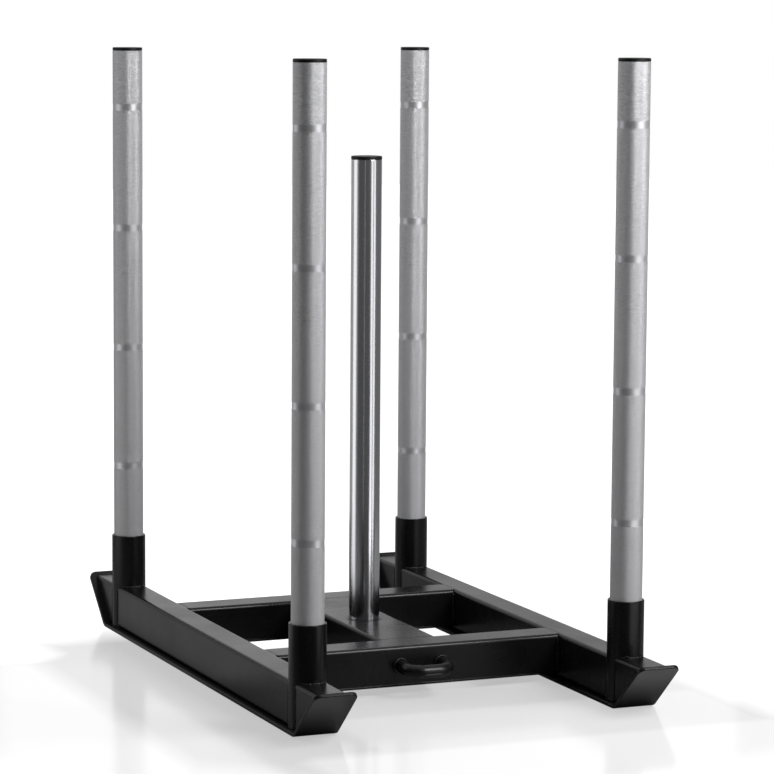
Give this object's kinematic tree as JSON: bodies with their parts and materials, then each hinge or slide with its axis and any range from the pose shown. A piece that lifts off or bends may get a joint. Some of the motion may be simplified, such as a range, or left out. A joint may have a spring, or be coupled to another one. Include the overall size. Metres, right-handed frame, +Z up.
{
  "type": "weight sled",
  "caption": "Steel push sled on upturned skids, with knurled lift-out corner uprights, a smooth centre post for weight plates and a tow eye on the front crossbar.",
  "frame": {"origin": "on the floor under the middle of the frame, on the axis of the centre post", "axes": "+Z up, +X across the sled to the viewer's right when the tow eye faces the viewer, +Y along the skids to the rear; the tow eye is at the front, towards -Y"},
  "size_m": [0.598, 1.075, 0.9953],
  "materials": {
    "frame_paint": "satin black powder coat",
    "skid_paint": "satin black powder coat",
    "knurled_steel": "fine knurling with smooth bands",
    "polished_steel": "polished along its length",
    "black_plastic": "fine grained"
  },
  "bodies": {
    "frame": {"left_skid": "skid_paint", "right_skid": "skid_paint", "left_rail": "frame_paint", "right_rail": "frame_paint", "left_front_rail_end": "frame_paint", "left_rear_rail_end": "frame_paint", "right_front_rail_end": "frame_paint", "right_rear_rail_end": "frame_paint", "left_front_socket": "frame_paint", "left_rear_socket": "frame_paint", "right_front_socket": "frame_paint", "right_rear_socket": "frame_paint", "front_crossbar": "frame_paint", "rear_crossbar": "frame_paint", "centre_beam": "frame_paint", "centre_socket": "frame_paint", "tow_eye": "frame_paint"},
    "left_front_post": {"left_front_upright": "knurled_steel", "left_front_upright_cap": "black_plastic", "left_front_upright_plug": "black_plastic"},
    "left_rear_post": {"left_rear_upright": "knurled_steel", "left_rear_upright_cap": "black_plastic", "left_rear_upright_plug": "black_plastic"},
    "right_front_post": {"right_front_upright": "knurled_steel", "right_front_upright_cap": "black_plastic", "right_front_upright_plug": "black_plastic"},
    "right_rear_post": {"right_rear_upright": "knurled_steel", "right_rear_upright_cap": "black_plastic", "right_rear_upright_plug": "black_plastic"},
    "middle_post": {"centre_post": "polished_steel", "centre_post_cap": "black_plastic", "centre_post_plug": "black_plastic"}
  },
  "joints": [
    {"name": "left_front_lift", "type": "slide", "parent": "frame", "child": "left_front_post", "axis": [0, 0, 1], "range_m": [0, 0.2]},
    {"name": "left_rear_lift", "type": "slide", "parent": "frame", "child": "left_rear_post", "axis": [0, 0, 1], "range_m": [0, 0.2]},
    {"name": "right_front_lift", "type": "slide", "parent": "frame", "child": "right_front_post", "axis": [0, 0, 1], "range_m": [0, 0.2]},
    {"name": "right_rear_lift", "type": "slide", "parent": "frame", "child": "right_rear_post", "axis": [0, 0, 1], "range_m": [0, 0.2]},
    {"name": "middle_lift", "type": "slide", "parent": "frame", "child": "middle_post", "axis": [0, 0, 1], "range_m": [0, 0.12]}
  ]
}
